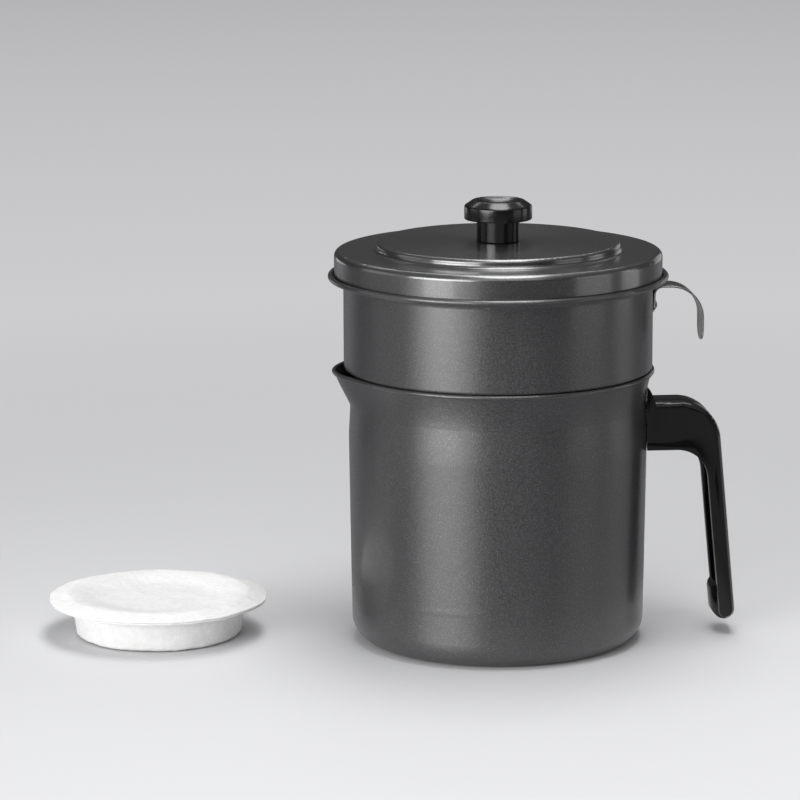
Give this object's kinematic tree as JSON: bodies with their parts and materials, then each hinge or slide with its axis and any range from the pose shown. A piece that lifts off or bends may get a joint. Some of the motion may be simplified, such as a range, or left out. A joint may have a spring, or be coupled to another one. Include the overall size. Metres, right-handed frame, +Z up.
{
  "type": "grease strainer pot",
  "caption": "Lidded pot for bacon grease and frying oil: jug with spout and side handle, strainer vessel with a lifting hook, knobbed lid, and a loose round filter cartridge beside it.",
  "frame": {"origin": "centre of the pot's flat base, on the surface that it stands on", "axes": "+Z up along the axis of pot, strainer vessel and lid; +X towards the handle; -X towards the pouring spout and the cartridge"},
  "size_m": [0.2912, 0.1428, 0.1873],
  "materials": {
    "coated_steel": "satin gun-metal grey non-stick coating with fine metallic fleck",
    "phenolic": "glossy black moulded phenolic",
    "zinc_steel": "bright zinc-plated steel",
    "stainless_strip": "polished stainless strip and sheet",
    "stainless_rivet": "bright polished stainless",
    "brass": "turned brass",
    "white_felt": "white bonded non-woven felt",
    "activated_carbon": "packed black activated carbon granules"
  },
  "bodies": {
    "pot": {"pot_body": "coated_steel", "handle_grip": "phenolic", "handle_bracket": "zinc_steel", "handle_washer": "zinc_steel", "handle_screw": "zinc_steel"},
    "strainer": {"strainer_body": "coated_steel", "lift_hook": "stainless_strip", "hook_rivet": "stainless_rivet"},
    "plate": {"crumb_plate": "stainless_strip"},
    "lid": {"lid_shell": "coated_steel", "lid_knob": "phenolic", "knob_bush": "brass", "knob_washer": "zinc_steel", "knob_screw": "zinc_steel"},
    "cartridge": {"cartridge_cover": "white_felt", "cartridge_cup": "white_felt", "carbon_bed": "activated_carbon"}
  },
  "joints": [
    {"name": "strainer_lift", "type": "slide", "parent": "pot", "child": "strainer", "axis": [0, 0, 1], "range_m": [0, 0.08]},
    {"name": "plate_lift", "type": "slide", "parent": "strainer", "child": "plate", "axis": [0, 0, 1], "range_m": [0, 0.05]},
    {"name": "lid_lift", "type": "slide", "parent": "strainer", "child": "lid", "axis": [0, 0, 1], "range_m": [0, 0.06]},
    {"name": "cartridge_lift", "type": "slide", "parent": "pot", "child": "cartridge", "axis": [0, 0, 1], "range_m": [0, 0.05]}
  ]
}
